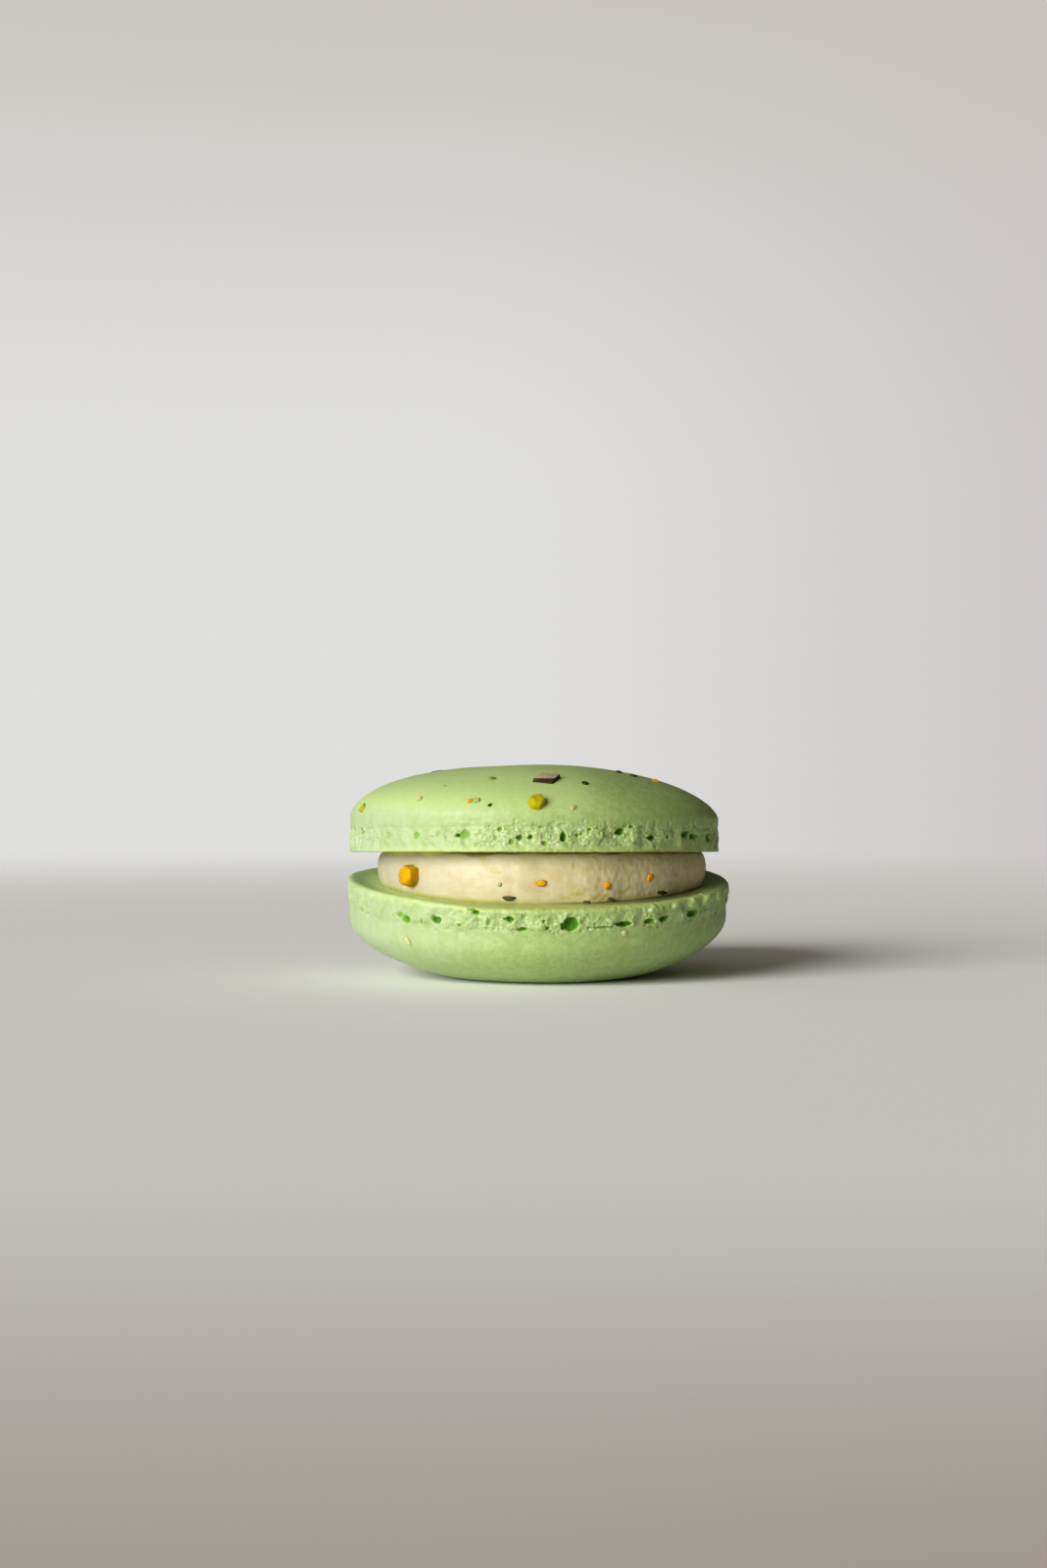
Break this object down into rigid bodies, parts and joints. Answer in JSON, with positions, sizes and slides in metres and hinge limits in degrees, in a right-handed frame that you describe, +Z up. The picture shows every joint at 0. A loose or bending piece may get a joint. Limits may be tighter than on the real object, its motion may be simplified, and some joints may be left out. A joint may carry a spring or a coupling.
{
  "type": "french macaron",
  "caption": "Round sandwich biscuit with smooth domed almond meringue shells on ruffled feet, a wedge of buttercream between them and chopped nut and petal flakes baked on.",
  "frame": {"origin": "middle of the base of the bounding box, on the surface that the macaron rests on", "axes": "+Z up, from the lower shell's crown to the upper shell's crown; -Y towards the side where the cream is thickest, which is the front; +X to the right as seen from the front"},
  "size_m": [0.0454, 0.0454, 0.0246],
  "materials": {
    "meringue": "matte, finely porous baked almond meringue, pale pistachio green",
    "buttercream": "soft satin buttercream, pale cream yellow"
  },
  "bodies": {
    "root": {"upper_shell": "meringue", "filling": "buttercream", "lower_shell": "meringue"}
  },
  "joints": []
}
